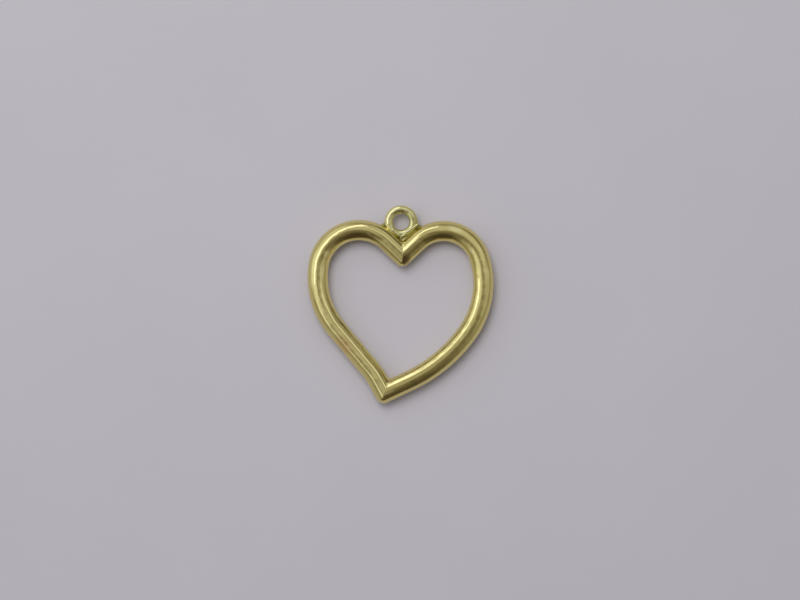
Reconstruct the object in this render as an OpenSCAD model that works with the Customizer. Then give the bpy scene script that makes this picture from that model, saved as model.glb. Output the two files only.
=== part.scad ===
/* [Wire] */
// Diameter of the round wire that both limbs are bent from
wire_d = 2.05; // [1.7:0.05:2.3]

/* [Cusp] */
// Angle at which the left limb rises from the cusp
left_rise = 43; // [38:1:48]
// Angle at which the right limb rises from the cusp
right_rise = 43; // [38:1:48]
// Radius to which the lower corner of the cusp is filed, about the meeting of the wires
cusp_nose_radius = 1.1; // [1.05:0.05:1.3]

/* [Tip] */
// How far the tip stands to the left of the cusp
tip_side = 1.8; // [0:0.1:2.5]
// How far the tip hangs below the cusp, between the meetings of the wires
tip_drop = 13.7; // [12.5:0.1:15]
// Radius to which the corner of the tip is filed, about the meeting of the wires
tip_nose_radius = 1.25; // [1.2:0.05:1.35]

/* [Left limb] */
// Straight run that leaves the cusp
left_start_run = 2.1; // [1.8:0.1:2.4]
// Bend radius of the lobe
left_lobe_radius = 4.1; // [3.8:0.05:4.4]
// Angle that the lobe turns through
left_lobe_turn = 124; // [118:1:130]
// Bend radius of the shoulder below the lobe
left_shoulder_radius = 8; // [7.4:0.1:8.6]
// Angle that the shoulder turns through
left_shoulder_turn = 49; // [45:1:52]
// Straight run of the leg below the shoulder
left_leg_run = 5.1; // [4:0.1:5.5]
// Bend radius of the short inward bend that brings the leg to the tip
left_closing_radius = 8; // [6:0.5:10]
// Angle that the short inward bend turns through
left_closing_turn = 11.35; // [9:0.05:14]

/* [Right limb] */
// Straight run that leaves the cusp
right_start_run = 2.1; // [1.8:0.1:2.4]
// Bend radius of the lobe
right_lobe_radius = 3.75; // [3.5:0.05:4]
// Angle that the lobe turns through
right_lobe_turn = 115; // [110:1:120]
// Bend radius of the flank below the lobe
right_flank_radius = 8.5; // [8:0.1:9]
// Angle that the flank turns through
right_flank_turn = 54; // [50:1:58]
// Bend radius of the long bend that brings the leg to the tip
right_closing_radius = 15; // [13:0.5:16]
// Angle that the long bend turns through
right_closing_turn = 28.95; // [26:0.05:32]

/* [Hanging eye] */
// Diameter of the hole
eye_hole_d = 1.65; // [1.4:0.05:1.9]
// Diameter of the round wire of the eye
eye_wire_d = 0.85; // [0.7:0.05:1]
// How far the eye's centre stands to the left of the cusp
eye_side = 0.15; // [0:0.05:0.2]
// How deep the right limb is let into the eye; the left limb is let in deeper by the offset
eye_seat = 0.1; // [0.06:0.02:0.16]

/* [Solder] */
// Thickness of the brazed seams between the limbs' mitred ends
seam = 0.1; // [0.06:0.02:0.2]
// Height of the solder round the foot of the eye
solder_h = 0.45; // [0.3:0.05:0.5]
// Radius of the solder fillets beside the eye
solder_fillet = 0.5; // [0.4:0.05:0.6]

/* [Hidden] */
$fn = 96;

brass = [0.80, 0.75, 0.47];
solder = [0.76, 0.74, 0.40];

// Depth of the land that the hole's reamer leaves round the inside of the eye
eye_land_depth = 0.025;
// Length of wire that runs on past a corner before its mitre is cut
end_overrun = wire_d;
// Reach of the blocks that cut a corner
corner_reach = end_overrun + wire_d;
// Half width of a filed nose's cut, as a share of its radius
nose_width_share = 0.7;
// Every second stretch of a limb is drawn a trace thinner, to this share of the wire,
// and runs on inside its neighbours by this share of the wire.
thin_share = 0.995;
overlap_share = 0.05;
// First trial of a limb's trim, the most trials after it, and how near to the tip's line they
// come, as a share of the wire
first_trim_share = 0.001;
trim_rounds = 20;
least_offset_share = 0.000001;

wire_r = wire_d / 2;
thin_d = thin_share * wire_d;
stretch_overlap = overlap_share * wire_d;
eye_hole_r = eye_hole_d / 2;
eye_wire_r = eye_wire_d / 2;
// Radius of the eye's own centreline
eye_ring_r = eye_hole_r + eye_wire_r - eye_land_depth;
eye_outer_r = eye_ring_r + eye_wire_r;

// The heart lies in the XY plane, with the meeting of the wires at the cusp as its first point.
cusp_point = [0, 0];
tip_point = [-tip_side, -tip_drop];

// A pose is x, y and a heading. A stretch of wire is [length, 0] when it is straight,
// and [radius, turn] when it is bent, with a turn to the left positive.
left_start = [cusp_point[0], cusp_point[1], 180 - left_rise];
left_bends = [
    [left_start_run, 0],
    [left_lobe_radius, left_lobe_turn],
    [left_shoulder_radius, left_shoulder_turn],
    [left_leg_run, 0],
    [left_closing_radius, -left_closing_turn]
];
right_start = [cusp_point[0], cusp_point[1], right_rise];
right_bends = [
    [right_start_run, 0],
    [right_lobe_radius, -right_lobe_turn],
    [right_flank_radius, -right_flank_turn],
    [right_closing_radius, -right_closing_turn]
];

// Centre that a bent stretch turns about
function turn_centre(pose, stretch) =
    let (side = sign(stretch[1]))
    [
        pose[0] - side * stretch[0] * sin(pose[2]),
        pose[1] + side * stretch[0] * cos(pose[2])
    ];

// Pose at the far end of one stretch
function pose_after(pose, stretch) =
    stretch[1] == 0
        ? [pose[0] + stretch[0] * cos(pose[2]), pose[1] + stretch[0] * sin(pose[2]), pose[2]]
        : let (
            centre = turn_centre(pose, stretch),
            side = sign(stretch[1]),
            heading = pose[2] + stretch[1]
        )
        [
            centre[0] + side * stretch[0] * sin(heading),
            centre[1] - side * stretch[0] * cos(heading),
            heading
        ];

// Pose after the first count stretches
function pose_along(pose, stretches, count) =
    count == 0
        ? pose
        : pose_after(pose_along(pose, stretches, count - 1), stretches[count - 1]);

// Stretches with every bend turned by the same small share more or less
function trimmed(stretches, trim_share) =
    [for (stretch = stretches) [stretch[0], stretch[1] * (1 + trim_share)]];

// How far a goal lies to the left of the line on which trimmed stretches end
function goal_offset(start, stretches, trim_share, goal) =
    let (
        end = pose_along(start, trimmed(stretches, trim_share), len(stretches)),
        reach = goal - [end[0], end[1]]
    )
    cos(end[2]) * reach[1] - sin(end[2]) * reach[0];

// Trim at which the stretches end on a line through the goal, found from two trials
// by the secant rule
function closing_trim(start, stretches, goal, first_share, second_share, rounds) =
    let (
        first_offset = goal_offset(start, stretches, first_share, goal),
        second_offset = goal_offset(start, stretches, second_share, goal),
        slope = (second_offset - first_offset) / (second_share - first_share)
    )
    rounds == 0 || abs(second_offset) < least_offset_share * wire_d
        ? second_share
        : closing_trim(
            start, stretches, goal, second_share, second_share - second_offset / slope, rounds - 1
        );

// Where two circles cross, on the chosen side of the line between their centres
function circles_meet(first, first_r, second, second_r, side) =
    let (
        span = norm(second - first),
        ahead = (second - first) / span,
        across = [-ahead[1], ahead[0]],
        along = (span * span + first_r * first_r - second_r * second_r) / (2 * span)
    )
    first + along * ahead + side * sqrt(first_r * first_r - along * along) * across;

// Point at a given distance from one point towards another
function towards(first, second, distance) =
    first + (second - first) * distance / norm(second - first);

// Each limb's bends are trimmed alike until its last straight run leads to the tip.
left_trim_share = closing_trim(
    left_start, left_bends, tip_point, 0, first_trim_share, trim_rounds
);
right_trim_share = closing_trim(
    right_start, right_bends, tip_point, 0, first_trim_share, trim_rounds
);
left_stretches = trimmed(left_bends, left_trim_share);
right_stretches = trimmed(right_bends, right_trim_share);
left_end = pose_along(left_start, left_stretches, len(left_stretches));
right_end = pose_along(right_start, right_stretches, len(right_stretches));

// Centres of the bends that the solder and the outermost points are measured from
left_lobe_centre = turn_centre(pose_along(left_start, left_stretches, 1), left_stretches[1]);
right_lobe_centre = turn_centre(pose_along(right_start, right_stretches, 1), right_stretches[1]);
left_shoulder_centre = turn_centre(pose_along(left_start, left_stretches, 2), left_stretches[2]);
right_flank_centre = turn_centre(pose_along(right_start, right_stretches, 2), right_stretches[2]);

// Each mitre halves the angle between its two limbs.
cusp_mitre = (left_start[2] + right_start[2]) / 2;
left_leg_angle = left_end[2] - 180;
right_leg_angle = right_end[2] + 180;
tip_mitre = (left_leg_angle + right_leg_angle) / 2;

// The eye stands in the notch, let into both limbs.
eye_height = (wire_r + eye_outer_r - eye_seat - eye_side * sin(right_rise)) / cos(right_rise);
eye_centre = [cusp_point[0] - eye_side, cusp_point[1] + eye_height];

// The origin is under the middle of the charm's box, on the face that it lies on.
box_left = left_shoulder_centre[0] - left_shoulder_radius - wire_r;
box_right = right_flank_centre[0] + right_flank_radius + wire_r;
box_top = eye_centre[1] + eye_outer_r;
tip_edge_run = sqrt(tip_nose_radius * tip_nose_radius - wire_r * wire_r);
box_bottom = tip_point[1] - tip_edge_run * sin(right_leg_angle) - wire_r * cos(right_leg_angle);
box_middle = [(box_left + box_right) / 2, (box_top + box_bottom) / 2];

// Moves what is drawn about the cusp to the charm's own origin
module in_place() {
    translate([-box_middle[0], -box_middle[1], wire_r])
        children();
}

// One stretch of wire, straight or bent. A thin one runs on past both its ends.
module wire_stretch(pose, stretch, thin = false) {
    stretch_d = thin ? thin_d : wire_d;
    spare = thin ? stretch_overlap : 0;
    if (stretch[1] == 0) {
        first = pose_after(pose, [-spare, 0]);
        translate([first[0], first[1], 0])
            rotate([0, 90, first[2]])
                cylinder(d = stretch_d, h = stretch[0] + 2 * spare);
    } else {
        centre = turn_centre(pose, stretch);
        spare_turn = spare / stretch[0] * 180 / PI;
        first_angle = stretch[1] > 0 ? pose[2] - 90 : pose[2] + stretch[1] + 90;
        translate([centre[0], centre[1], 0])
            rotate([0, 0, first_angle - spare_turn])
                rotate_extrude(angle = abs(stretch[1]) + 2 * spare_turn)
                    translate([stretch[0], 0])
                        circle(d = stretch_d);
    }
}

// The straight start of a wire, with spare length past the cusp
module start_wire(start, run) {
    wire_stretch(pose_after(start, [-end_overrun, 0]), [end_overrun + run, 0]);
}

// Both wires where the eye and its solder meet them
module wires_at_eye() {
    start_wire(left_start, left_start_run);
    wire_stretch(pose_along(left_start, left_stretches, 1), left_stretches[1], true);
    start_wire(right_start, right_start_run);
    wire_stretch(pose_along(right_start, right_stretches, 1), right_stretches[1], true);
}

// Block on one side of a mitre, from a distance off its plane out to past the wire's end.
// A side of 1 is to the left of the mitre's line and -1 to its right.
module mitre_block(corner, mitre, side, offset, depth) {
    translate([corner[0], corner[1], -corner_reach])
        rotate([0, 0, mitre])
            translate([-corner_reach, side > 0 ? offset : -offset - depth, 0])
                cube([2 * corner_reach, depth, 2 * corner_reach]);
}

// What is filed off the outer corner of a mitre
module nose_cut(corner, mitre, nose_radius) {
    half_width = nose_width_share * nose_radius;
    translate([corner[0], corner[1], -corner_reach])
        difference() {
            rotate([0, 0, mitre + 180])
                translate([0, -half_width, 0])
                    cube([corner_reach, 2 * half_width, 2 * corner_reach]);
            cylinder(r = nose_radius, h = 2 * corner_reach);
        }
}

// Takes a mitre and a filed corner off the end of a wire. A side of 1 keeps the left limb.
module cut_corner(corner, mitre, side, nose_radius) {
    difference() {
        children();
        mitre_block(corner, mitre, -side, -seam / 2, corner_reach);
        nose_cut(corner, mitre, nose_radius);
    }
}

// The end of a wire: its last bend, the straight run to the tip and spare length past it
module end_wire(start, stretches) {
    count = len(stretches);
    end = pose_along(start, stretches, count);
    run = norm(tip_point - [end[0], end[1]]);
    wire_stretch(pose_along(start, stretches, count - 1), stretches[count - 1], count % 2 == 0);
    wire_stretch(end, [run + end_overrun, 0], count % 2 == 1);
}

// One limb, from its mitre at the cusp to its mitre at the tip
module limb(start, stretches, side) {
    cut_corner(cusp_point, cusp_mitre, side, cusp_nose_radius)
        start_wire(start, stretches[0][0]);
    for (i = [1 : len(stretches) - 2])
        wire_stretch(pose_along(start, stretches, i), stretches[i], i % 2 == 1);
    cut_corner(tip_point, tip_mitre, side, tip_nose_radius)
        end_wire(start, stretches);
}

// A brazed seam: the slice of both wires that lies between two mitred ends.
// left_angle and right_angle are the directions in which the limbs leave the corner.
module seam_slice(corner, mitre, left_angle, right_angle, nose_radius) {
    difference() {
        for (half = [[1, left_angle], [-1, right_angle]])
            intersection() {
                mitre_block(corner, mitre, half[0], 0, seam / 2);
                wire_stretch(
                    pose_after([corner[0], corner[1], half[1]], [-end_overrun, 0]),
                    [2 * end_overrun, 0]
                );
            }
        nose_cut(corner, mitre, nose_radius);
    }
}

// The eye's ring before it is let into the limbs
module eye_ring() {
    translate([eye_centre[0], eye_centre[1], 0])
        difference() {
            rotate_extrude()
                translate([eye_ring_r, 0])
                    circle(d = eye_wire_d);
            translate([0, 0, -eye_wire_d])
                cylinder(d = eye_hole_d, h = 2 * eye_wire_d);
        }
}

// Solder of one outline, where the eye and the limbs leave room for it
module eye_solder(outline) {
    difference() {
        translate([0, 0, -solder_h / 2])
            linear_extrude(height = solder_h)
                polygon(outline);
        eye_ring();
        wires_at_eye();
    }
}

// Outline of the solder between the eye and one lobe. A side of 1 is the right lobe.
function side_solder(lobe_centre, lobe_radius, side) =
    let (
        lobe_outer_r = lobe_radius + wire_r,
        fillet_centre = circles_meet(
            eye_centre, eye_outer_r + solder_fillet,
            lobe_centre, lobe_outer_r + solder_fillet, side
        )
    )
    [
        towards(eye_centre, fillet_centre, eye_ring_r),
        towards(lobe_centre, fillet_centre, lobe_outer_r - eye_wire_r),
        towards(eye_centre, lobe_centre, eye_ring_r)
    ];

// Outline of the solder in the bottom of the notch, under the eye
function base_solder() =
    let (top = eye_centre[1] - eye_outer_r + eye_wire_r / 2)
    [
        cusp_point,
        [cusp_point[0] + top / tan(right_rise), top],
        [cusp_point[0] - top / tan(left_rise), top]
    ];

module left_limb() {
    color(brass)
        in_place()
            limb(left_start, left_stretches, 1);
}

module right_limb() {
    color(brass)
        in_place()
            limb(right_start, right_stretches, -1);
}

module cusp_braze() {
    color(solder)
        in_place()
            seam_slice(cusp_point, cusp_mitre, left_start[2], right_start[2], cusp_nose_radius);
}

module tip_braze() {
    color(solder)
        in_place()
            seam_slice(tip_point, tip_mitre, left_leg_angle, right_leg_angle, tip_nose_radius);
}

module hanging_eye() {
    color(brass)
        in_place()
            difference() {
                eye_ring();
                wires_at_eye();
            }
}

module eye_solder_left() {
    color(solder)
        in_place()
            eye_solder(side_solder(left_lobe_centre, left_lobe_radius, -1));
}

module eye_solder_right() {
    color(solder)
        in_place()
            eye_solder(side_solder(right_lobe_centre, right_lobe_radius, 1));
}

module eye_solder_base() {
    color(solder)
        in_place()
            eye_solder(base_solder());
}

left_limb();
right_limb();
cusp_braze();
tip_braze();
hanging_eye();
eye_solder_left();
eye_solder_right();
eye_solder_base();
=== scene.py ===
import logging
import math
from dataclasses import dataclass
from enum import Enum
from typing import ClassVar, NamedTuple

import bmesh
import bpy
from mathutils import Matrix, Vector


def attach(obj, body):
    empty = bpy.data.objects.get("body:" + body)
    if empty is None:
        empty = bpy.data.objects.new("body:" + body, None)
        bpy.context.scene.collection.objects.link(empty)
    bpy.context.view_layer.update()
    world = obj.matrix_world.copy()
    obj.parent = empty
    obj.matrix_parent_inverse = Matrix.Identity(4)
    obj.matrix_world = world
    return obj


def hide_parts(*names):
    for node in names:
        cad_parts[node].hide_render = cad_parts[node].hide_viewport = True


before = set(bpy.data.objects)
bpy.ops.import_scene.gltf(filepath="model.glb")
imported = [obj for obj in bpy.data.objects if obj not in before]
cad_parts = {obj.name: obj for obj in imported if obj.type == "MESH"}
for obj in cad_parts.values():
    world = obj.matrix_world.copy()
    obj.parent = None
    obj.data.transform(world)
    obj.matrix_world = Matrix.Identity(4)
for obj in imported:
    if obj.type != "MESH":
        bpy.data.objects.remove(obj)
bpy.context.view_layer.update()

log = logging.getLogger("heart_charm")

Mesh = bmesh.types.BMesh
Socket = bpy.types.NodeSocket
Point = tuple[float, float, float]
Colour = tuple[float, float, float]

# Sizes are millimetres. Places are measured from the cusp, where the limbs' centrelines meet,
# and those of the lamps and the camera from the origin of the charm's frame.
MM = 0.001
ORIGIN_FROM_CUSP = Vector((-0.202132, -4.95026))
WIRE_D = 2.044
MID_HEIGHT = 1.025

# How near to a cut a vertex counts as lying on it.
CUT_SNAP = 1e-6

# The vertex attribute that holds each place on the straightened wire: left, up and along.
DRAWN = "drawn"

# The point of the left leg that its lamps are turned to.
LEG = (-5.8, -5.6, 1.0)

# Where the die's flutes are deep, in places along the wire: from none at the first place of
# each pair to their full depth at the second.
NEAR_CUSP = (5.5, 3.0)
ON_LEG = (14.0, 17.0)

# Colours that more than one finish has.
BRASS = (0.82, 0.71, 0.265)
# A painted glint: a pale colour laid on small spots as painted highlights.
PAINTED_GLINT = (1.0, 0.92, 0.42)
# Painted shade: a dark brown laid on the lobes' undersides for their dark reflection.
UNDERSIDE_SHADE = (0.4, 0.28, 0.12)


class Slot(Enum):
    """The record's material slots."""

    WIRE = "brass_wire"
    EYE = "brass_eye"
    SOLDER = "brass_solder"


class Side(Enum):
    """The two halves of the heart; the value is the side of a mitre that a limb keeps."""

    LEFT = 1
    RIGHT = -1


def clamped(value: float) -> float:
    """Returns a value held between 0 and 1."""
    return min(max(value, 0.0), 1.0)


@dataclass(frozen=True)
class Pose:
    """A place on a wire's centreline, in millimetres, and its heading in degrees."""

    x: float
    y: float
    heading: float

    @property
    def place(self) -> Vector:
        """The place as a point in the heart's plane."""
        return Vector((self.x, self.y))

    @property
    def ahead(self) -> Vector:
        """The unit vector along the wire."""
        angle = math.radians(self.heading)
        return Vector((math.cos(angle), math.sin(angle)))

    @property
    def left(self) -> Vector:
        """The unit vector to the left of the wire."""
        return Vector((-self.ahead.y, self.ahead.x))

    def moved(self, length: float) -> "Pose":
        """Returns the pose that lies a length further along the heading."""
        place = self.place + self.ahead * length
        return Pose(place.x, place.y, self.heading)


@dataclass(frozen=True)
class Stretch:
    """One stretch of wire: a straight run, or a bend of one radius with left turns positive."""

    size: float
    turn: float = 0.0

    @property
    def length(self) -> float:
        """The length of the centreline."""
        return self.size * math.radians(abs(self.turn)) if self.turn else self.size

    def centre(self, pose: Pose) -> Vector:
        """Returns the centre that a bend starting at a pose turns about."""
        return pose.place + pose.left * math.copysign(self.size, self.turn)

    def pose_at(self, pose: Pose, along: float) -> Pose:
        """Returns the pose some way along the stretch, for the pose at its near end."""
        turn = self.turn * (along / self.length)
        return Stretch(self.size if self.turn else along, turn).end(pose)

    def end(self, pose: Pose) -> Pose:
        """Finds the pose at the far end of the stretch.

        Args:
            pose: The pose at its near end.

        Returns:
            The pose.
        """
        if not self.turn:
            return pose.moved(self.size)
        centre = self.centre(pose)
        place = centre + Matrix.Rotation(math.radians(self.turn), 2) @ (pose.place - centre)
        return Pose(place.x, place.y, pose.heading + self.turn)


class Gauge(NamedTuple):
    """A point measured against one wire, of which only the outer or the inner half counts."""

    height: float
    outward: Vector
    offset: float


@dataclass(frozen=True)
class Corner:
    """A mitred corner of the heart, and how far filing and braze have rounded it.

    The blends are the reach over which the two wires' surfaces run into each other, outside
    at the nose and inside at the throat. They grow to that over the onset, sideways from the
    wires' middles. A point is settled in a few passes, fewer where it needs no more.
    """

    place: Vector
    left_angle: float
    right_angle: float
    nose_blend: float
    throat_blend: float
    seam: float = 0.1
    reach: float = 2 * WIRE_D
    onset: float = 0.4 * WIRE_D
    passes: int = 8
    least_blend: float = 1e-4
    least_span: float = 1e-6
    least_slope: float = 0.2

    @property
    def mitre(self) -> Pose:
        """The pose of the mitre's line, which points to the throat."""
        return Pose(self.place.x, self.place.y, (self.left_angle + self.right_angle) / 2)

    def side_of(self, side: Side) -> Pose:
        """Returns the pose in which a limb leaves the corner."""
        angle = self.left_angle if side is Side.LEFT else self.right_angle
        return Pose(self.place.x, self.place.y, angle)

    def _gauge(self, side: Side, point: Vector, outer: bool) -> Gauge:
        """Measures a point against one wire.

        Args:
            side: The limb whose wire is measured.
            point: The point, with z from the wires' middle.
            outer: Whether the outer half of the wire counts, or the inner one.

        Returns:
            The height above the wire, the direction outwards, and the offset to the side.
        """
        pose = self.side_of(side)
        out = pose.left * (side.value if outer else -side.value)
        offset = (point.to_2d() - pose.place).dot(out)
        away = max(offset, 0.0)
        span = max(math.hypot(away, point.z), self.least_span)
        outward = Vector((out.x * away, out.y * away, point.z)) / span
        return Gauge(span - WIRE_D / 2, outward, offset)

    def _settled(self, point: Vector) -> Vector:
        """Finds where a point of the raw mitred wires lies once the corner is rounded.

        Args:
            point: The point, with z from the wires' middle.

        Returns:
            The point on the rounded surface, or the same point away from the corner.
        """
        for outer, blend in ((True, self.nose_blend), (False, self.throat_blend)):
            sign = 1.0 if outer else -1.0
            for _ in range(self.passes):
                left, right = (self._gauge(side, point, outer) for side in Side)
                share = clamped(min(left.offset, right.offset) / self.onset)
                share = share * share * (3 - 2 * share)
                reach = blend * share * (1 - left.outward.dot(right.outward))
                if reach < self.least_blend:
                    break
                gap = sign * (left.height - right.height)
                mixed = max(reach - abs(gap), 0.0) / reach
                if not mixed:
                    break
                height = sign * max(sign * left.height, sign * right.height)
                height += sign * mixed * mixed * reach / 4
                weight = clamped(0.5 + gap / (2 * reach))
                slope = left.outward * weight + right.outward * (1 - weight)
                point = point - slope * (height / max(slope.length_squared, self.least_slope))
        return point

    def settle(self, bm: Mesh) -> None:
        """Moves a mesh's vertices near the corner on to its rounded surface.

        Args:
            bm: The mesh, in metres in the charm's frame.
        """
        for vert in bm.verts:
            point = from_frame(vert.co)
            if (point.to_2d() - self.place).length < self.reach:
                vert.co += (self._settled(point) - point) * MM


def to_frame(place: Vector, height: float = MID_HEIGHT) -> Vector:
    """Returns a point about the cusp as metres in the charm's frame."""
    flat = place - ORIGIN_FROM_CUSP
    return Vector((flat.x, flat.y, height)) * MM


def from_frame(point: Vector) -> Vector:
    """Returns metres in the charm's frame as millimetres about the cusp and mid height."""
    return point / MM + Vector((*ORIGIN_FROM_CUSP, -MID_HEIGHT))


def ring_matrix(pose: Pose) -> Matrix:
    """Returns the matrix that stands a flat circle across a wire, with its Y upwards."""
    turn = Matrix((pose.left.to_3d(), (0.0, 0.0, 1.0), pose.ahead.to_3d())).transposed()
    return Matrix.Translation(to_frame(pose.place)) @ turn.to_4x4()


def whole(bm: Mesh) -> list[object]:
    """Returns all the vertices, edges and faces of a mesh."""
    return [*bm.verts, *bm.edges, *bm.faces]


def move_grown(bm: Mesh, grown: list[object], by: Vector) -> None:
    """Moves the vertices that an extrusion has just made."""
    verts = [g for g in grown if isinstance(g, bmesh.types.BMVert)]
    bmesh.ops.translate(bm, verts=verts, vec=by)


def add_tube(bm: Mesh, sides: int, radius: float, stand: Matrix, along: Vector) -> None:
    """Adds an open tube of one ring of faces to an empty mesh.

    Args:
        bm: The mesh.
        sides: The number of faces round the tube.
        radius: The tube's radius, in the mesh's units.
        stand: How the circle at the tube's first end stands.
        along: The way to its other end.
    """
    bmesh.ops.create_circle(bm, segments=sides, radius=radius, matrix=stand)
    grown = bmesh.ops.extrude_edge_only(bm, edges=list(bm.edges))["geom"]
    move_grown(bm, grown, along)


def add_slab(bm: Mesh, outline: tuple[Vector, ...], thickness: float) -> None:
    """Adds a flat slab about mid height.

    Args:
        bm: The mesh.
        outline: The slab's corners.
        thickness: Its thickness.
    """
    low = MID_HEIGHT - thickness / 2
    face = bm.faces.new([bm.verts.new(to_frame(p, low)) for p in outline])
    grown = bmesh.ops.extrude_face_region(bm, geom=[face])["geom"]
    move_grown(bm, grown, Vector((0.0, 0.0, thickness * MM)))


def cut_off(bm: Mesh, place: Vector, outward: Vector, reach: float = 5.0) -> None:
    """Cuts a wire's end with an upright plane, closes the cut and leaves its rim sharp.

    Args:
        bm: The mesh.
        place: A point of the plane.
        outward: The direction of what is taken off.
        reach: How far from the point the wire counts as its end.
    """
    centre = to_frame(place)
    near = {v for v in bm.verts if (v.co - centre).length < reach * MM}
    edges = [e for e in bm.edges if all(v in near for v in e.verts)]
    faces = [f for f in bm.faces if all(v in near for v in f.verts)]
    cut = bmesh.ops.bisect_plane(
        bm, geom=[*near, *edges, *faces], dist=CUT_SNAP * MM, plane_co=centre,
        plane_no=outward.to_3d(), clear_outer=True,
    )["geom_cut"]
    rim = [g for g in cut if isinstance(g, bmesh.types.BMEdge)]
    for cap in bmesh.ops.edgeloop_fill(bm, edges=rim)["faces"]:
        cap.tag = True
        for edge in cap.edges:
            edge.smooth = False


def add_object(name: str, bm: Mesh, finish: bpy.types.Material) -> bpy.types.Object:
    """Adds an object to the scene, and frees the mesh that it was built in.

    Args:
        name: The object's name.
        bm: The mesh.
        finish: Its material.

    Returns:
        The object.
    """
    mesh = bpy.data.meshes.new(name)
    bm.to_mesh(mesh)
    bm.free()
    mesh.materials.append(finish)
    made = bpy.data.objects.new(name, mesh)
    bpy.context.scene.collection.objects.link(made)
    return made


@dataclass
class Piece:
    """A piece of the charm, which stands on it in place of a CAD node."""

    name: str
    node: str
    slot: ClassVar[Slot] = Slot.SOLDER

    def shape(self, bm: Mesh) -> None:
        """Shapes the piece.

        Args:
            bm: The empty mesh that takes it, in metres in the charm's frame.
        """
        raise NotImplementedError

    def build(self, finish: bpy.types.Material) -> None:
        """Builds the piece and dresses it. The faces that are tagged stay flat.

        Args:
            finish: Its material.
        """
        bm = bmesh.new()
        self.shape(bm)
        bmesh.ops.recalc_face_normals(bm, faces=bm.faces)
        for face in bm.faces:
            face.smooth = not face.tag
        piece = add_object(self.name, bm, finish)
        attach(piece, "root")
        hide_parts(self.node)
        log.info("%s: %d faces for %s", self.name, len(piece.data.polygons), self.node)


@dataclass
class Limb(Piece):
    """One length of round wire, bent to half of the heart and mitred at both ends."""

    slot: ClassVar[Slot] = Slot.WIRE
    side: Side
    start: Pose
    bends: tuple[Stretch, ...]
    cusp: Corner
    tip: Corner
    ring_sides: int = 128
    step: float = 0.08
    overrun: float = 2.05
    digits: int = 4

    @property
    def chain(self) -> list[tuple[Pose, Stretch]]:
        """The stretches and the poses that they start from, the last one past the tip."""
        found, pose = [], self.start
        for stretch in self.bends:
            found.append((pose, stretch))
            pose = stretch.end(pose)
        run = (self.tip.place - pose.place).length
        return [*found, (pose, Stretch(run + self.overrun))]

    def _pose_at(self, along: float) -> Pose:
        """Finds the pose at a distance along the wire.

        Args:
            along: The distance from the cusp, below 0 before it.

        Returns:
            The pose.
        """
        if along <= 0:
            return self.start.moved(along)
        for pose, stretch in self.chain:
            if along <= stretch.length:
                return stretch.pose_at(pose, along)
            along -= stretch.length
        return stretch.end(pose).moved(along)

    def _bend(self, bm: Mesh) -> None:
        """Bends the straight wire, and notes where each vertex lay before.

        Args:
            bm: The straight wire's mesh, in millimetres along Z.
        """
        layer = bm.verts.layers.float_vector[DRAWN]
        stands: dict[float, Matrix] = {}
        for vert in bm.verts:
            vert[layer] = vert.co
            along = round(vert.co.z, self.digits)
            if along not in stands:
                stands[along] = ring_matrix(self._pose_at(along))
            vert.co = stands[along] @ Vector((vert.co.x * MM, vert.co.y * MM, 0.0))

    def shape(self, bm: Mesh) -> None:
        """Draws the wire straight, bends it, cuts its mitres and rounds them.

        Args:
            bm: The empty mesh that takes it.
        """
        bm.verts.layers.float_vector.new(DRAWN)
        length = sum(stretch.length for _, stretch in self.chain) + self.overrun
        add_tube(
            bm, self.ring_sides, WIRE_D / 2, Matrix.Translation((0.0, 0.0, -self.overrun)),
            Vector((0.0, 0.0, length)),
        )
        lengthwise = [e for e in bm.edges if e.calc_length() > length / 2]
        bmesh.ops.subdivide_edges(
            bm, edges=lengthwise, cuts=math.ceil(length / self.step), use_grid_fill=True
        )
        self._bend(bm)
        for corner in (self.cusp, self.tip):
            inward = corner.mitre.left * self.side.value
            cut_off(bm, corner.place + inward * (corner.seam / 2), -inward)
            corner.settle(bm)


@dataclass
class BrazedSeam(Piece):
    """The thin slice of braze between two mitred ends, filed flush with the wires."""

    corner: Corner
    ring_sides: int = 96
    reach: float = 2.6
    weld: float = 0.001
    rim_sides: int = 8

    def shape(self, bm: Mesh) -> None:
        """Cuts one half from the left wire, mirrors it across the mitre and rounds it.

        Args:
            bm: The empty mesh that takes it.
        """
        place, mitre = self.corner.place, self.corner.mitre
        pose = self.corner.side_of(Side.LEFT).moved(-self.reach)
        along = pose.ahead.to_3d() * (2 * self.reach * MM)
        add_tube(bm, self.ring_sides, WIRE_D / 2 * MM, ring_matrix(pose), along)
        cut_off(bm, place + mitre.left * (self.corner.seam / 2), mitre.left)
        bmesh.ops.bisect_plane(
            bm, geom=whole(bm), dist=CUT_SNAP * MM, plane_co=to_frame(place),
            plane_no=-mitre.left.to_3d(), clear_outer=True,
        )
        turn = Matrix.Rotation(math.radians(mitre.heading), 4, "Z")
        stand = Matrix.Translation(to_frame(place)) @ turn
        weld = self.weld * MM
        bmesh.ops.mirror(bm, geom=whole(bm), matrix=stand.inverted(), merge_dist=weld, axis="Y")
        bmesh.ops.remove_doubles(bm, verts=bm.verts, dist=weld)
        self.corner.settle(bm)
        for face in bm.faces:
            face.tag = len(face.verts) > self.rim_sides


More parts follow.
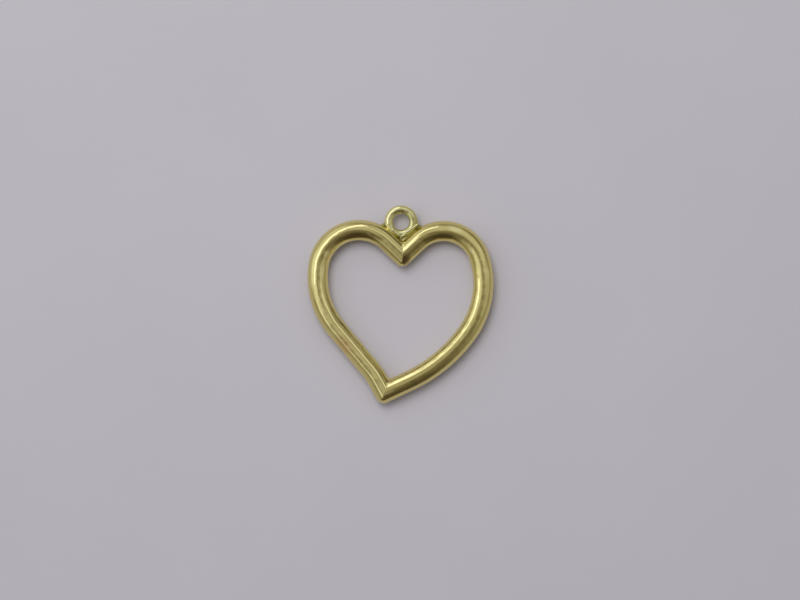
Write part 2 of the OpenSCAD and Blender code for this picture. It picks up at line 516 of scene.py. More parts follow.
@dataclass
class HangingEye(Piece):
    """The small ring of round wire in the notch, reamed inside to a short land.

    A closed ring can't be straightened, so its places go by the circle of its wire's middle.
    """

    slot: ClassVar[Slot] = Slot.EYE
    centre: Vector
    wire_d: float = 0.848
    ring_r: float = 1.225
    hole_r: float = 0.825
    ring_sides: int = 48
    steps: int = 168

    def shape(self, bm: Mesh) -> None:
        """Spins the ring and reams its hole.

        Args:
            bm: The empty mesh that takes it.
        """
        layer = bm.verts.layers.float_vector.new(DRAWN)
        first = Pose(self.centre.x + self.ring_r, self.centre.y, 90.0)
        bmesh.ops.create_circle(
            bm, segments=self.ring_sides, radius=self.wire_d / 2 * MM, matrix=ring_matrix(first),
        )
        bmesh.ops.spin(
            bm, geom=list(bm.edges), cent=to_frame(self.centre), axis=(0, 0, 1),
            angle=math.tau, steps=self.steps, use_merge=True,
        )
        for vert in bm.verts:
            point = from_frame(vert.co)
            spoke = point.to_2d() - self.centre
            outward = spoke.normalized()
            if spoke.length < self.hole_r:
                vert.co += outward.to_3d() * ((self.hole_r - spoke.length) * MM)
            middle = outward * self.ring_r
            vert[layer] = middle.x + self.ring_r - spoke.length, middle.y, point.z


@dataclass
class SolderWeb(Piece):
    """A small web of solder between the ring and one lobe."""

    outline: tuple[Vector, ...]
    thickness: float = 0.5
    rounding: float = 0.2
    rounding_steps: int = 4

    def shape(self, bm: Mesh) -> None:
        """Extrudes the outline about mid height and rounds its edges.

        Args:
            bm: The empty mesh that takes it.
        """
        add_slab(bm, self.outline, self.thickness)
        bmesh.ops.bevel(
            bm, geom=list(bm.edges), offset=self.rounding * MM, offset_type="OFFSET",
            affect="EDGES", segments=self.rounding_steps, profile=0.5, material=-1,
            clamp_overlap=True,
        )


@dataclass
class NotchSolder(Piece):
    """The solder under the ring: a fill with concave fillets, and two long beads on it.

    The beads lie at a height over mid height, and run from the apex to the ends, left and
    right. Over the tail the fill thins out towards its two upper walls. Its walls stay flat:
    they are the faces whose normals rise by less than the wall's rise.
    """

    heart: "Heart"
    apex: Vector
    ends: tuple[Vector, ...]
    radius: float = 0.17
    height: float = 0.4
    bead_sides: int = 32
    bead_rings: int = 24
    grid: float = 0.1
    grid_shift: float = 0.63
    grid_snap: float = 1e-5
    raw_thickness: float = 0.2
    wall_rise: float = 0.5
    tail: float = 0.6
    tail_end: float = 0.12

    def _fill(self, bm: Mesh) -> None:
        """Adds the fill: its outline extruded, cut to a fine grid and sunk to the fillets.

        Args:
            bm: The empty mesh that takes it.
        """
        outline = self.heart.notch_outline(self.apex, self.ends)
        add_slab(bm, outline, self.raw_thickness)
        for axis in range(2):
            low = min(p[axis] for p in outline)
            high = max(p[axis] for p in outline)
            for step in range(int((high - low) / self.grid)):
                place = Vector((0.0, 0.0))
                place[axis] = low + (step + self.grid_shift) * self.grid
                bmesh.ops.bisect_plane(
                    bm, geom=whole(bm), dist=self.grid_snap * MM,
                    plane_co=to_frame(place), plane_no=(1 - axis, axis, 0),
                )
        bm.normal_update()
        for face in bm.faces:
            face.tag = abs(face.normal.z) < self.wall_rise
        walls = tuple(zip(self.ends, (outline[-1], outline[1])))
        for vert in bm.verts:
            point = from_frame(vert.co)
            rise = self.heart.notch_height(point.to_2d())
            for end, foot in walls:
                rise *= self._tail(point.to_2d(), end, foot)
            vert.co.z = (MID_HEIGHT + math.copysign(rise, point.z)) * MM

    def _tail(self, place: Vector, end: Vector, foot: Vector) -> float:
        """Finds how far the fill has thinned out near one of its upper walls.

        Args:
            place: The place.
            end: Where the wall starts, at a bead's end.
            foot: Where it ends, in the limb.

        Returns:
            A share of the full height.
        """
        inward = Vector((end.y - foot.y, foot.x - end.x)).normalized()
        if inward.dot(self.apex - end) < 0:
            inward = -inward
        near = 1.0 - clamped((place - end).dot(inward) / self.tail)
        return max(math.sqrt(1.0 - near * near), self.tail_end)

    def _bead(self, bm: Mesh, end: Vector) -> None:
        """Adds one long bead.

        Args:
            bm: The mesh that takes it.
            end: The bead's upper end.
        """
        reach = self.apex - end
        centre = Matrix.Translation(to_frame(end + reach / 2, MID_HEIGHT + self.height))
        turn = Matrix.Rotation(math.atan2(reach.y, reach.x), 4, "Z")
        long_r = reach.length / 2 + self.radius
        shape = Matrix.Diagonal((long_r, self.radius, self.radius, 1.0))
        bmesh.ops.create_uvsphere(
            bm, u_segments=self.bead_sides, v_segments=self.bead_rings, radius=MM,
            matrix=centre @ turn @ shape @ Matrix.Rotation(math.pi / 2, 4, "Y"),
        )

    def shape(self, bm: Mesh) -> None:
        """Adds the fill and both beads.

        Args:
            bm: The empty mesh that takes them.
        """
        self._fill(bm)
        for end in self.ends:
            self._bead(bm, end)


def circles_meet(
    first: Vector, first_r: float, second: Vector, second_r: float, side: float,
) -> Vector:
    """Finds where two circles cross.

    Args:
        first: The first circle's centre.
        first_r: Its radius.
        second: The second circle's centre.
        second_r: Its radius.
        side: 1 for the crossing on the left, seen from the first centre, and -1 for the other.

    Returns:
        The crossing.
    """
    ahead = (second - first).normalized()
    span = (second - first).length
    along = (span * span + first_r * first_r - second_r * second_r) / (2 * span)
    across = Vector((-ahead.y, ahead.x))
    return first + ahead * along + across * (side * math.sqrt(first_r**2 - along**2))


@dataclass(frozen=True)
class Heart:
    """The sizes that the whole charm shares.

    A corner's blends are those of its nose and its throat. The notch's fill lies within the
    reach along each limb and goes into the limb up to the inset from its centreline. It rises
    to the limbs in fillets from a base over mid height, and dips a little inside their skin.
    """

    left_rise: float = 43.0
    right_rise: float = 43.0
    tip_place: tuple[float, float] = (-1.8, -13.7)
    eye_place: tuple[float, float] = (-0.15, 3.38099)
    bead_apex: tuple[float, float] = (-0.13, 1.86)
    bead_ends: tuple[tuple[float, float], ...] = ((-1.62, 3.08), (1.5, 3.12))
    left_bends: tuple[Stretch, ...] = (
        Stretch(2.1), Stretch(4.1, 124.0), Stretch(8.0, 49.0), Stretch(5.1),
        Stretch(8.0, -11.35),
    )
    right_bends: tuple[Stretch, ...] = (
        Stretch(2.1), Stretch(3.75, -115.0), Stretch(8.5, -54.0), Stretch(15.0, -28.952),
    )
    cusp_blends: tuple[float, float] = (1.0, 0.45)
    tip_blends: tuple[float, float] = (1.05, 0.4)
    web_fillet: float = 0.5
    notch_reach: float = 3.0
    notch_inset: float = 0.75
    notch_base: float = 0.2
    notch_fillet: float = 0.5
    notch_blend: float = 0.15
    notch_dip: float = 0.06
    dip_run: float = 0.1

    @property
    def halves(self) -> dict[Side, tuple[Pose, tuple[Stretch, ...]]]:
        """Each limb's pose at the cusp and its stretches, but for the last straight run."""
        return {
            Side.LEFT: (Pose(0.0, 0.0, 180.0 - self.left_rise), self.left_bends),
            Side.RIGHT: (Pose(0.0, 0.0, self.right_rise), self.right_bends),
        }

    @property
    def cusp(self) -> Corner:
        """The rounded corner at the cusp."""
        headings = (start.heading for start, _ in self.halves.values())
        return Corner(Vector((0.0, 0.0)), *headings, *self.cusp_blends)

    @property
    def tip(self) -> Corner:
        """The rounded corner at the tip."""
        ends = []
        for pose, bends in self.halves.values():
            for bend in bends:
                pose = bend.end(pose)
            ends.append(pose.heading)
        left, right = ends
        return Corner(Vector(self.tip_place), left - 180.0, right + 180.0, *self.tip_blends)

    def web(self, side: Side, eye: HangingEye) -> tuple[Vector, ...]:
        """Finds the outline of the solder between the eye and one lobe.

        Args:
            side: The lobe's side.
            eye: The eye.

        Returns:
            The outline's three corners.
        """
        start, (run, bend, *_) = self.halves[side]
        lobe = bend.centre(run.end(start))
        lobe_r = bend.size + WIRE_D / 2
        eye_r = eye.ring_r + eye.wire_d / 2
        fillet = circles_meet(
            eye.centre, eye_r + self.web_fillet, lobe, lobe_r + self.web_fillet, -side.value,
        )
        return (
            eye.centre + (fillet - eye.centre).normalized() * eye.ring_r,
            lobe + (fillet - lobe).normalized() * (lobe_r - eye.wire_d / 2),
            eye.centre + (lobe - eye.centre).normalized() * eye.ring_r,
        )

    def notch_outline(self, apex: Vector, ends: tuple[Vector, ...]) -> tuple[Vector, ...]:
        """Finds the outline of the solder in the notch, between the limbs and the beads.

        Args:
            apex: Where the two beads meet.
            ends: The beads' upper ends, left and right.

        Returns:
            The outline's corners, from the lowest one to the right.
        """
        far = []
        for side, (start, (run, bend, *_)) in self.halves.items():
            pose = bend.pose_at(run.end(start), self.notch_reach - run.size)
            far.append(pose.place + pose.left * (-side.value * self.notch_inset))
        low = Vector((0.0, self.notch_inset / math.cos(math.radians(self.left_rise))))
        return low, far[1], ends[1], apex, ends[0], far[0]

    def _fillet_height(self, away: float) -> float:
        """Finds how high the solder stands beside one limb.

        Args:
            away: The distance from the limb's centreline.

        Returns:
            The height above the wires' middle.
        """
        wire, fillet, base = WIRE_D / 2, self.notch_fillet, self.notch_base
        foot = math.sqrt((wire + fillet) ** 2 - (base + fillet) ** 2)
        touch = foot * wire / (wire + fillet)
        if away >= foot:
            return base
        if away >= touch:
            return base + fillet - math.sqrt(fillet**2 - (foot - away) ** 2)
        dip = self.notch_dip * min((touch - away) / self.dip_run, 1.0)
        return math.sqrt(wire**2 - away**2) - dip

    def notch_height(self, place: Vector) -> float:
        """Finds how high the solder in the notch stands at a place between the limbs.

        Args:
            place: The place.

        Returns:
            The height above the wires' middle.
        """
        heights = []
        for start, (run, bend, *_) in self.halves.values():
            offset = place - start.place
            away = abs(offset.dot(start.left))
            if offset.dot(start.ahead) > run.size:
                away = abs((place - bend.centre(run.end(start))).length - bend.size)
            heights.append(self._fillet_height(away))
        near = max(1.0 - abs(heights[0] - heights[1]) / self.notch_blend, 0.0)
        return max(heights) + near * near * self.notch_blend / 4


class NodeTree:
    """A small helper that adds and links shader nodes."""

    def __init__(self, data: bpy.types.NodeTree) -> None:
        """Starts from an empty tree."""
        self.data = data
        data.nodes.clear()

    def feed(self, target: Socket, value: object) -> None:
        """Gives an input an output's value or a constant.

        Args:
            target: The input.
            value: An output, a number or a tuple of numbers.
        """
        if isinstance(value, Socket):
            self.data.links.new(value, target)
        else:
            target.default_value = value

    def add(
        self, kind: str, given: dict[str | int, object] | None = None, **settings: object,
    ) -> bpy.types.Node:
        """Adds a node.

        Args:
            kind: The node's type, such as ShaderNodeMath.
            given: What its inputs are given, by name or by number.
            **settings: Properties of the node.

        Returns:
            The node.
        """
        node = self.data.nodes.new(kind)
        for key, value in settings.items():
            setattr(node, key, value)
        for key, value in (given or {}).items():
            self.feed(node.inputs[key], value)
        return node

    def math(self, operation: str, first: object, second: object = 0.0) -> Socket:
        """Returns the result of a math node, for numbers or outputs."""
        node = self.add("ShaderNodeMath", {0: first, 1: second}, operation=operation)
        return node.outputs[0]

    def vector(self, operation: str, first: object, second: object = (0.0, 0.0, 0.0)) -> Socket:
        """Returns the result of a vector math node, for vectors or outputs."""
        node = self.add("ShaderNodeVectorMath", {0: first, 1: second}, operation=operation)
        return node.outputs["Value" if operation in ("LENGTH", "DOT_PRODUCT") else "Vector"]

    def split(self, place: Socket) -> bpy.types.NodeOutputs:
        """Returns a place's three numbers."""
        return self.add("ShaderNodeSeparateXYZ", {0: place}).outputs

    def noise(self, place: Socket, scale: float, detail: float, roughness: float = 0.5) -> Socket:
        """Returns a cloud of noise, from 0 to 1, with as many finer layers as its detail says."""
        given = {"Vector": place, "Scale": scale, "Detail": detail, "Roughness": roughness}
        return self.add("ShaderNodeTexNoise", given, noise_dimensions="3D").outputs["Fac"]

    def ramp(self, value: Socket, first: object, last: object, top: float = 1.0) -> Socket:
        """Returns a soft rise from 0 at the first value to the top at the last, which may be lower."""
        given = {"Value": value, "From Min": first, "From Max": last, "To Max": top}
        return self.add("ShaderNodeMapRange", given, interpolation_type="SMOOTHSTEP").outputs["Result"]

    def mix(self, share: Socket, under: Socket | Colour, over: Colour) -> Socket:
        """Returns a colour laid over another one, as far as the share says."""
        given = {0: share, 6: under if isinstance(under, Socket) else (*under, 1.0), 7: (*over, 1.0)}
        return self.add("ShaderNodeMix", given, data_type="RGBA").outputs[2]

    def group(self, made: bpy.types.NodeTree, **given: object) -> bpy.types.NodeOutputs:
        """Returns the outputs of a node group whose inputs are given values."""
        return self.add("ShaderNodeGroup", given, node_tree=made).outputs

    def bumps(self, heights: list[tuple[Socket, float]], target: Socket) -> None:
        """Stacks bumps on one another for a shader, and leaves out those with no depth.

        Args:
            heights: Each bump's height from 0 to 1 and its depth in millimetres.
            target: The shader's input for its normal.
        """
        stack = [
            self.add("ShaderNodeBump", {"Distance": depth * MM, "Height": height})
            for height, depth in heights if depth
        ]
        above = [*(bump.inputs["Normal"] for bump in stack[1:]), target]
        for bump, socket in zip(stack, above):
            self.feed(socket, bump.outputs["Normal"])


def new_material(name: str) -> tuple[bpy.types.Material, NodeTree, bpy.types.Node]:
    """Makes a material with one plain shader.

    Args:
        name: The material's name.

    Returns:
        The material, its tree and its shader.
    """
    made = bpy.data.materials.new(name)
    made.use_nodes = True
    tree = NodeTree(made.node_tree)
    skin = tree.add("ShaderNodeBsdfPrincipled")
    tree.add("ShaderNodeOutputMaterial", {"Surface": skin.outputs[0]})
    return made, tree, skin


def new_group(
    name: str, inputs: dict[str, float | None], outputs: tuple[str, ...],
) -> tuple[NodeTree, bpy.types.NodeOutputs, bpy.types.NodeInputs]:
    """Makes a shader node group that puts out numbers.

    Args:
        name: The group's name.
        inputs: Each input's first value, or None for a place.
        outputs: The outputs' names.

    Returns:
        The group's tree, what comes in, and what goes out.
    """
    group = bpy.data.node_groups.new(name, "ShaderNodeTree")
    for label, value in inputs.items():
        kind = "NodeSocketVector" if value is None else "NodeSocketFloat"
        socket = group.interface.new_socket(name=label, in_out="INPUT", socket_type=kind)
        if value is not None:
            socket.default_value = value
    for label in outputs:
        group.interface.new_socket(name=label, in_out="OUTPUT", socket_type="NodeSocketFloat")
    tree = NodeTree(group)
    return tree, tree.add("NodeGroupInput").outputs, tree.add("NodeGroupOutput").inputs


def draw_line_group() -> bpy.types.NodeTree:
    """Builds the group that gives the fine lines that the die leaves along a drawn wire.

    Returns:
        The group, with the lines' height from 0 to 1.
    """
    tree, given, found = new_group("draw_lines", {"Place": None}, ("Height",))
    lengthwise = tree.vector("MULTIPLY", given["Place"], (9.0, 9.0, 0.05))
    tree.feed(found["Height"], tree.noise(lengthwise, 1.0, 3.0, 0.4))
    return tree.data


def flute_group() -> bpy.types.NodeTree:
    """Builds the group that gives the shallow flutes that a worn die leaves round a wire.

    They are nearly polished off on the lobe, and turn a little round the wire near the cusp.

    Returns:
        The group, with the flutes' height from -0.5 to 0.5.
    """
    tree, given, found = new_group(
        "die_flutes",
        {"Place": None, "Count": 18.0, "Wander": 4.0, "Twist": -2.8, "Worn": 0.25},
        ("Height",),
    )
    parts = tree.split(given["Place"])
    angle = tree.math("ARCTAN2", parts[0], parts[1])
    near_cusp = tree.ramp(parts[2], *NEAR_CUSP)
    on_leg = tree.ramp(parts[2], *ON_LEG)
    drift = tree.noise(tree.vector("MULTIPLY", given["Place"], (0.8, 0.8, 0.11)), 1.0, 1.0)
    phase = tree.math("MULTIPLY", tree.math("SUBTRACT", drift, 0.5), given["Wander"])
    phase = tree.math("ADD", phase, tree.math("MULTIPLY", near_cusp, given["Twist"]))
    swing = tree.math("ADD", tree.math("MULTIPLY", angle, given["Count"]), phase)
    wave = tree.math("MULTIPLY", tree.math("COSINE", swing), 0.5)
    pressed = tree.math("MAXIMUM", tree.math("ADD", near_cusp, on_leg), given["Worn"])
    patch = tree.noise(tree.vector("MULTIPLY", given["Place"], (1.4, 1.4, 0.22)), 1.0, 1.0)
    wave = tree.math("MULTIPLY", wave, pressed)
    tree.feed(found["Height"], tree.math("MULTIPLY", wave, tree.ramp(patch, 0.2, 0.5)))
    return tree.data


def tarnish_group() -> bpy.types.NodeTree:
    """Builds the group that gives soft stains and the dull haze between them.

    Returns:
        The group, with a mask of stains and a mask of haze.
    """
    tree, given, found = new_group("tarnish", {"Place": None, "Spread": 0.5}, ("Stain", "Haze"))
    for label, scale, detail in (("Stain", 0.45, 4.0), ("Haze", 1.7, 5.0)):
        cloud = tree.noise(given["Place"], scale, detail, 0.55)
        low = tree.math("SUBTRACT", 0.75, given["Spread"])
        tree.feed(found[label], tree.ramp(cloud, low, 0.8))
    return tree.data


@dataclass(frozen=True)
class Mark:
    """A stain, a painted glint, a patch of painted shade or a small dent at one place of a drawn wire.
    """

    place: Point
    reach: float
    colour: Colour
    strength: float
    stretch: float = 1.0
    depth: float = 0.0
    core: float = 0.25

    def mask(self, tree: NodeTree, place: Socket) -> Socket:
        """Finds where the mark lies.

        Args:
            tree: The material's tree.
            place: The place on the wire.

        Returns:
            A mask that is 1 in the mark's core and 0 beyond its reach.
        """
        offset = tree.vector("SUBTRACT", place, self.place)
        squeezed = tree.vector("MULTIPLY", offset, (1.0, 1.0, 1.0 / self.stretch))
        return tree.ramp(tree.vector("LENGTH", squeezed), self.reach, self.core * self.reach)


@dataclass(frozen=True)
class BrassFinish:
    """A brass surface: its colours, its roughness, the marks that drawing left on it, and the
    highlights and shade painted on it.

    The haze is the roughness that tarnish adds, and depths are millimetres. The crest is the height
    from which the top of the surface is painted with a highlight, and the height at which the painted
    highlight is full.
    A finish that isn't drawn has its lines, flutes and marks placed by the piece's own
    coordinates.
    """

    name: str
    colour: Colour
    stain: Colour
    roughness: float
    haze: float
    stain_spread: float
    drawn: bool = True
    line_depth: float = 0.0
    dimple_depth: float = 0.0
    dimple_scale: float = 0.9
    # The streak paint lays painted shade in the flutes' hollows and painted highlight streaks on their
    # ridges.
    die_depth: float = 0.0
    streak_paint: float = 0.0
    groove_shade: Colour = (0.4, 0.33, 0.1)
    ridge_highlight: Colour = (0.98, 0.9, 0.42)
    marks: tuple[Mark, ...] = ()
    crest: tuple[float, float] | None = None
    crest_colour: Colour = (0.9, 0.85, 0.4)

    def material(
        self, lines: bpy.types.NodeTree, flutes: bpy.types.NodeTree,
        tarnish: bpy.types.NodeTree,
    ) -> bpy.types.Material:
        """Builds the material.

        Args:
            lines: The group of the fine drawn lines.
            flutes: The group of the die's flutes.
            tarnish: The group of stains and haze.

        Returns:
            The material.
        """
        made, tree, skin = new_material(self.name)
        metres = tree.add("ShaderNodeTexCoord").outputs["Object"]
        solid = tree.vector("MULTIPLY", metres, (1 / MM, 1 / MM, 1 / MM))
        place = solid
        if self.drawn:
            place = tree.add("ShaderNodeAttribute", attribute_name=DRAWN).outputs["Vector"]
        stains = tree.group(tarnish, Place=solid, Spread=self.stain_spread)
        # The flutes' height, which shapes the bump and places the painted streaks.
        worn = tree.group(flutes, Place=place)["Height"]
        heights = [
            (tree.noise(solid, self.dimple_scale, 1.0), self.dimple_depth),
            (worn, self.die_depth),
            (tree.group(lines, Place=place)["Height"], self.line_depth),
        ]
        shown = tree.mix(stains["Stain"], self.colour, self.stain)
        # Painted shade in the flutes' hollows and painted highlights on their ridges.
        for colour, rise in ((self.groove_shade, -2.0), (self.ridge_highlight, 2.0)):
            height = tree.math("MULTIPLY", worn, rise * self.streak_paint)
            shown = tree.mix(tree.math("MAXIMUM", height, 0.0), shown, colour)
        # Marks paint stains, glints and shade into the colour, and dent the surface by their depth.
        for mark in self.marks:
            mask = mark.mask(tree, place)
            shown = tree.mix(tree.math("MULTIPLY", mask, mark.strength), shown, mark.colour)
            heights.append((mask, -mark.depth))
        # Painted highlight on the tops, above the crest's first height.
        if self.crest:
            crest_highlight = tree.ramp(tree.split(solid)[2], *self.crest)
            shown = tree.mix(crest_highlight, shown, self.crest_colour)
        dull = tree.math("MULTIPLY", stains["Haze"], self.haze)
        tree.feed(skin.inputs["Base Color"], shown)
        tree.feed(skin.inputs["Metallic"], 1.0)
        tree.feed(skin.inputs["Roughness"], tree.math("ADD", dull, self.roughness))
        tree.bumps(heights, skin.inputs["Normal"])
        return made


LEFT_BRASS = BrassFinish(
    "brass_left", BRASS, (0.62, 0.4, 0.2), roughness=0.13, haze=0.06, stain_spread=0.12,
    line_depth=0.002, dimple_depth=0.04, die_depth=0.01, streak_paint=0.5,
    marks=(
        Mark((-0.55, 0.86, 19.6), 0.95, (0.76, 0.5, 0.2), 0.6, 1.8),
        # Painted highlights: glints laid over small dents.
        Mark((0.45, 0.92, 9.6), 0.3, PAINTED_GLINT, 0.8, 2.0, 0.004),
        Mark((0.5, 0.89, 11.7), 0.26, PAINTED_GLINT, 0.8, 4.0, 0.004),
        Mark((0.2, 1.0, 4.27), 0.24, PAINTED_GLINT, 0.6, 1.5, 0.004),
        # Painted shade on the lobe's underside.
        Mark((0.6, 0.8, 5.6), 0.5, UNDERSIDE_SHADE, 0.65, 4.5),
    ),
)
RIGHT_BRASS = BrassFinish(
    "brass_right", BRASS, (0.66, 0.5, 0.18), roughness=0.14, haze=0.05, stain_spread=0.1,
    line_depth=0.001, dimple_depth=0.035, dimple_scale=1.1, die_depth=0.008, streak_paint=0.08,
    marks=(
        # Painted shade: a dark patch at the nose of the cusp, where the wire reflects dark.
        Mark((-0.48, 0.85, -0.2), 0.95, (0.28, 0.2, 0.08), 1.0),
        # Painted highlights: glints laid over small dents.
        Mark((0.38, 0.95, 6.0), 0.42, PAINTED_GLINT, 0.9, 2.2, 0.004),
        Mark((-0.47, 0.9, 8.55), 0.32, PAINTED_GLINT, 0.8, 1.8, 0.004),
        Mark((0.46, 0.9, 11.35), 0.26, PAINTED_GLINT, 0.6, 3.0, 0.003),
        # Painted shade on the lobe's underside.
        Mark((-0.6, 0.8, 4.7), 0.5, UNDERSIDE_SHADE, 0.65, 3.8),
    ),
)
# The ring's brass is paler than the limbs', which paints its broad highlight lighter.
RING_BRASS = BrassFinish(
    "brass_ring", (0.9, 0.85, 0.38), (0.7, 0.6, 0.22), roughness=0.25, haze=0.06,
    stain_spread=0.1, line_depth=0.002, dimple_depth=0.05, dimple_scale=1.8,
    marks=(
        # Painted shade: the ring's right side darkened.
        Mark((1.02, -0.1, 0.2), 1.0, (0.6, 0.53, 0.19), 0.75),
        # Painted highlights: glints on the ring's top.
        Mark((-0.85, 0.98, 0.41), 0.34, PAINTED_GLINT, 0.7),
        Mark((0.22, 1.12, 0.33), 0.34, PAINTED_GLINT, 0.7),
    ),
)
BRAZE = BrassFinish(
    "braze", BRASS, (0.5, 0.42, 0.12), roughness=0.14, haze=0.06, stain_spread=0.2, drawn=False,
)
# The solder's dark olive is painted shade between the wires and the ring.
SOLDER = BrassFinish(
    "solder", (0.36, 0.31, 0.07), (0.26, 0.22, 0.05), roughness=0.2, haze=0.1,
    stain_spread=0.2, drawn=False, dimple_depth=0.05, dimple_scale=6.0,
    # Painted highlight on the solder's tops.
    crest=(MID_HEIGHT + 0.2, MID_HEIGHT + 0.48),
)


@dataclass(frozen=True)
class SkyPatch:
    """A soft round patch of the studio's light, or of shade where its strength is below 0.

    The azimuth and the polar angle, from the zenith, point to its middle. It is at its full
    strength up to the inner angle from there, and ends at the outer one.
    """

    azimuth: float
    polar: float
    inner: float
    outer: float
    strength: float

    @property
    def toward(self) -> Vector:
        """The direction to the middle of the patch."""
        azimuth, polar = math.radians(self.azimuth), math.radians(self.polar)
        flat = math.sin(polar)
        return Vector((flat * math.cos(azimuth), flat * math.sin(azimuth), math.cos(polar)))


@dataclass(frozen=True)
class Lamp:
    """A soft rectangular lamp with a grid of slats, turned to a point of the charm.

    The grid is the angle that it lets light out by, and counts as the widest at most, because
    the gain has no value at 180 degrees. A lamp lights the paper alone, or the brass alone.
    """

    name: str
    place: Point
    size: tuple[float, float]
    turn: float
    radiance: float
    aim: Point = (0.0, 0.0, 1.0)
    grid: float = 180.0
    paper_only: bool = False
    colour: Colour = (1.0, 1.0, 1.45)
    widest: float = 179.9

    @property
    def gain(self) -> float:
        """How much brighter the grid makes the lamp straight ahead, for one energy."""
        half = math.radians(min(self.grid, self.widest) / 2)
        return math.tan(half) / (math.tan(half) - half)

    @property
    def stand(self) -> Matrix:
        """The matrix that sets the lamp in its place and turns it to its aim."""
        angle = math.radians(self.turn)
        long_side = Vector((math.cos(angle), math.sin(angle), 0.0))
        back = (Vector(self.place) - Vector(self.aim)).normalized()
        across = (long_side - back * long_side.dot(back)).normalized()
        basis = Matrix((across, back.cross(across), back)).transposed().to_4x4()
        return Matrix.Translation(Vector(self.place) * MM) @ basis

    def build(self) -> None:
        """Builds the lamp, unseen by the camera."""
        data = bpy.data.lights.new(self.name, "AREA")
        data.shape = "RECTANGLE"
        data.size, data.size_y = (s * MM for s in self.size)
        data.energy = self.radiance * math.pi * data.size * data.size_y / self.gain
        data.spread = math.radians(self.grid)
        data.color = self.colour
        made = bpy.data.objects.new(self.name, data)
        made.matrix_world = self.stand
        made.visible_camera = False
        made.visible_diffuse = self.paper_only
        made.visible_glossy = not self.paper_only
        bpy.context.scene.collection.objects.link(made)


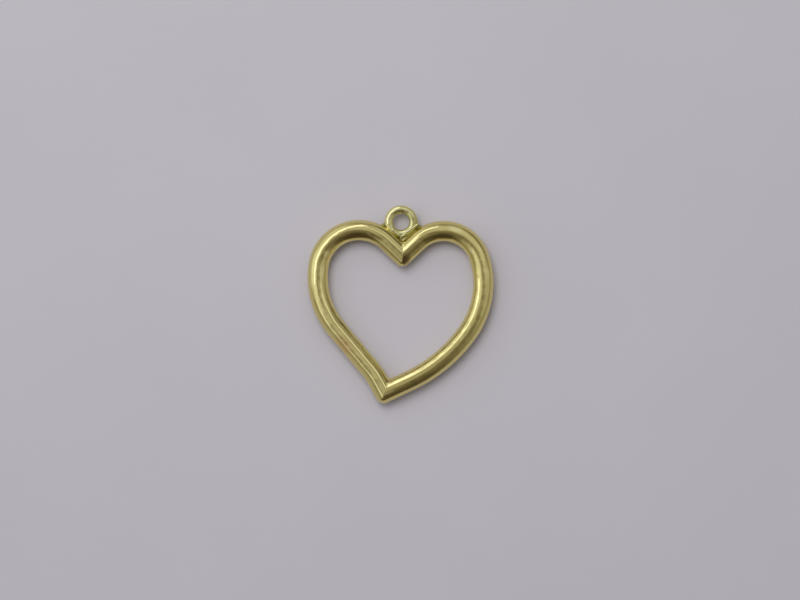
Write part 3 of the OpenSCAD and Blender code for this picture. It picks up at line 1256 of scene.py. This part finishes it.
@dataclass
class Studio:
    """The pale paper, the soft light and the camera that looks straight down.

    The sky has an ambient light and never falls below the least one. The warmth is each
    colour's gain and power, so that the shade is warmer than the light.
    """

    paper: Colour = (0.612, 0.583, 0.612)
    paper_unevenness: float = 0.03
    paper_grain: float = 60.0
    paper_roughness: float = 0.85
    floor_size: float = 3000.0
    ambient: float = 0.3
    least: float = 0.09
    warmth: tuple[tuple[float, float], ...] = ((1.0, 1.0), (1.05, 1.08), (1.27, 1.26))
    patches: tuple[SkyPatch, ...] = (
        SkyPatch(175.0, 40.0, 0.0, 34.0, 0.5),
        SkyPatch(125.0, 60.0, 0.0, 34.0, 0.4),
        SkyPatch(169.0, 73.0, 0.0, 26.0, 0.4),
        SkyPatch(60.0, 35.0, 12.0, 38.0, 0.27),
        SkyPatch(226.0, 50.0, 8.0, 26.0, 0.12),
        SkyPatch(5.0, 47.0, 16.0, 28.0, 0.14),
        SkyPatch(40.0, 85.0, 10.0, 36.0, -0.1),
        SkyPatch(-75.0, 27.0, 5.0, 36.0, -0.12),
        SkyPatch(-85.0, 66.0, 8.0, 50.0, -0.24),
    )
    lamps: tuple[Lamp, ...] = (
        Lamp("strip", (-15.0, 19.0, 25.0), (46.0, 8.0), 64.0, 1.04),
        Lamp("leg_outer", (-12.5, -11.2, 11.0), (26.0, 3.4), 130.0, 0.3, LEG, grid=70.0),
        Lamp("leg_middle", (-6.3, -6.0, 11.0), (26.0, 3.0), 130.0, 0.25, LEG, grid=70.0),
        Lamp("leg_inner", (0.86, 0.0, 11.0), (22.0, 3.0), 130.0, 0.3, LEG, grid=70.0),
        Lamp(
            "overhead", (-55.0, 112.0, 250.0), (150.0, 150.0), 0.0, 4.4, paper_only=True,
            colour=(1.0, 1.0, 1.0),
        ),
    )
    eye_point: Point = (-0.058, 0.5, 201.025)
    sensor_width: float = 36.0
    lens: float = 90.0
    clip: tuple[float, float] = (5.0, 20000.0)

    def build_world(self) -> None:
        """Builds the sky: an even ambient light, soft bright patches and a few of shade."""
        world = bpy.data.worlds.new("soft_studio")
        bpy.context.scene.world = world
        world.use_nodes = True
        tree = NodeTree(world.node_tree)
        light = tree.add("ShaderNodeBackground", {"Strength": 1.0})
        tree.add("ShaderNodeOutputWorld", {"Surface": light.outputs[0]})
        looking = tree.add("ShaderNodeTexCoord").outputs["Generated"]
        total = self.ambient
        for patch in self.patches:
            facing = tree.vector("DOT_PRODUCT", looking, patch.toward)
            outer, inner = (math.cos(math.radians(a)) for a in (patch.outer, patch.inner))
            total = tree.math("ADD", tree.ramp(facing, outer, inner, patch.strength), total)
        total = tree.math("MAXIMUM", total, self.least)
        mixed = tree.add("ShaderNodeCombineColor")
        for socket, (gain, power) in zip(mixed.inputs, self.warmth):
            tree.feed(socket, tree.math("MULTIPLY", tree.math("POWER", total, power), gain))
        tree.feed(light.inputs["Color"], mixed.outputs[0])

    def build_floor(self) -> None:
        """Builds the paper that the charm lies on."""
        made, tree, skin = new_material("pale_paper")
        tree.feed(skin.inputs["Roughness"], self.paper_roughness)
        place = tree.add("ShaderNodeTexCoord").outputs["Object"]
        low, high = (
            tuple(c * (1 + part) for c in self.paper)
            for part in (-self.paper_unevenness, self.paper_unevenness)
        )
        tint = tree.mix(tree.noise(place, self.paper_grain, 3.0), low, high)
        tree.feed(skin.inputs["Base Color"], tint)
        bm = bmesh.new()
        bmesh.ops.create_grid(bm, x_segments=2, y_segments=2, size=self.floor_size / 2 * MM)
        add_object("paper", bm, made)

    def build_camera(self) -> None:
        """Builds the camera at the photograph's viewing angle."""
        data = bpy.data.cameras.new("camera")
        data.sensor_width, data.lens = self.sensor_width, self.lens
        data.clip_start, data.clip_end = (distance * MM for distance in self.clip)
        camera = bpy.data.objects.new("camera", data)
        camera.location = Vector(self.eye_point) * MM
        bpy.context.scene.collection.objects.link(camera)
        bpy.context.scene.camera = camera
        bpy.context.scene.view_settings.view_transform = "Standard"

    def build(self) -> None:
        """Builds the whole studio."""
        self.build_world()
        for lamp in self.lamps:
            lamp.build()
        self.build_floor()
        self.build_camera()


def main() -> None:
    """Builds the charm's pieces in order, then the studio."""
    logging.basicConfig(level=logging.INFO, format="%(name)s: %(message)s")
    heart = Heart()
    eye = HangingEye("eye_ring", "hanging_eye", Vector(heart.eye_place))
    bead_apex = Vector(heart.bead_apex)
    bead_ends = tuple(Vector(end) for end in heart.bead_ends)
    groups = draw_line_group(), flute_group(), tarnish_group()
    left, right, ring, braze, solder = (
        finish.material(*groups)
        for finish in (LEFT_BRASS, RIGHT_BRASS, RING_BRASS, BRAZE, SOLDER)
    )
    for name, node, side, finish in (
        ("left_limb_wire", "left_limb", Side.LEFT, left),
        ("right_limb_wire", "right_limb", Side.RIGHT, right),
    ):
        Limb(name, node, side, *heart.halves[side], heart.cusp, heart.tip).build(finish)
    BrazedSeam("cusp_seam", "cusp_braze", heart.cusp).build(braze)
    BrazedSeam("tip_seam", "tip_braze", heart.tip).build(braze)
    eye.build(ring)
    SolderWeb("solder_left", "eye_solder_left", heart.web(Side.LEFT, eye)).build(solder)
    SolderWeb("solder_right", "eye_solder_right", heart.web(Side.RIGHT, eye)).build(solder)
    NotchSolder("solder_base", "eye_solder_base", heart, bead_apex, bead_ends).build(solder)
    Studio().build()


if __name__ == "__main__":
    main()
